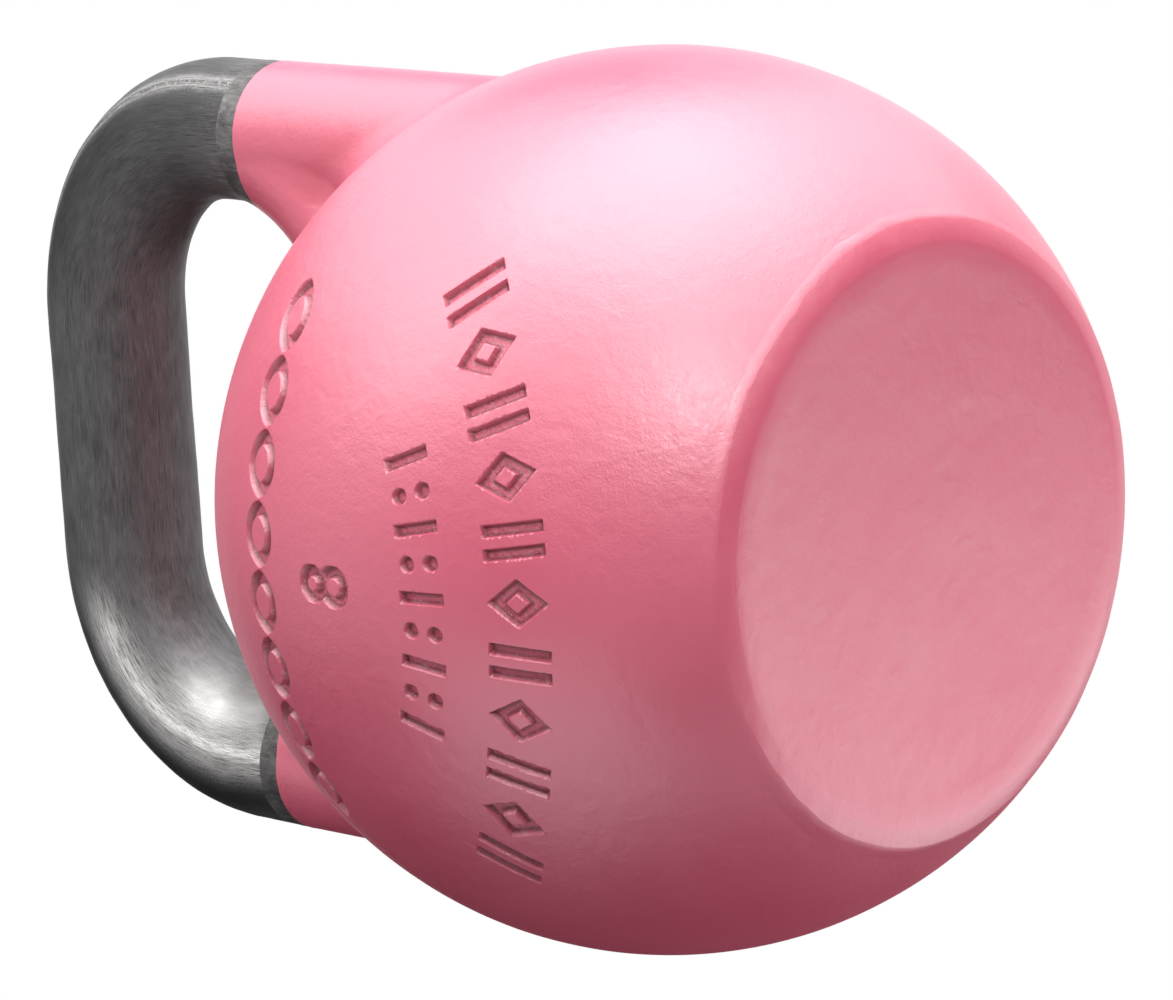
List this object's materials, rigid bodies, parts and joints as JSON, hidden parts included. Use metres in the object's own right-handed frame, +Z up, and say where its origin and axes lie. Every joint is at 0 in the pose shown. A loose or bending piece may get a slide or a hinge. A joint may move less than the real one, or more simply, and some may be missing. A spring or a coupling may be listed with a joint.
{
  "type": "kettlebell",
  "caption": "Hollow steel ball weight with a shallow dished foot, painted horns and a bare round grip bar to swing or lift it by.",
  "frame": {"origin": "centre of the foot, level with its flat rim, on the floor that the kettlebell stands on", "axes": "+Z up through the ball and the grip, +X along the grip bar towards the right horn, -Y out of the side with the recessed marks"},
  "size_m": [0.21, 0.21, 0.284],
  "materials": {
    "paint": "satin",
    "base_paint": "satin",
    "weld_paint": "satin",
    "grip_steel": "satin",
    "ground_weld": "satin",
    "ballast_steel": "matte",
    "fastener_steel": "satin",
    "pad_rubber": "matte"
  },
  "bodies": {
    "root": {"ball_shell": "paint", "handle": "grip_steel", "handle_weld_left": "ground_weld", "handle_weld_right": "ground_weld", "base_plate": "base_paint", "base_weld": "weld_paint", "ballast_stud": "fastener_steel", "ballast_pad": "pad_rubber", "ballast_disc_1": "ballast_steel", "ballast_disc_2": "ballast_steel", "ballast_washer": "fastener_steel", "ballast_nut": "fastener_steel"}
  },
  "joints": []
}
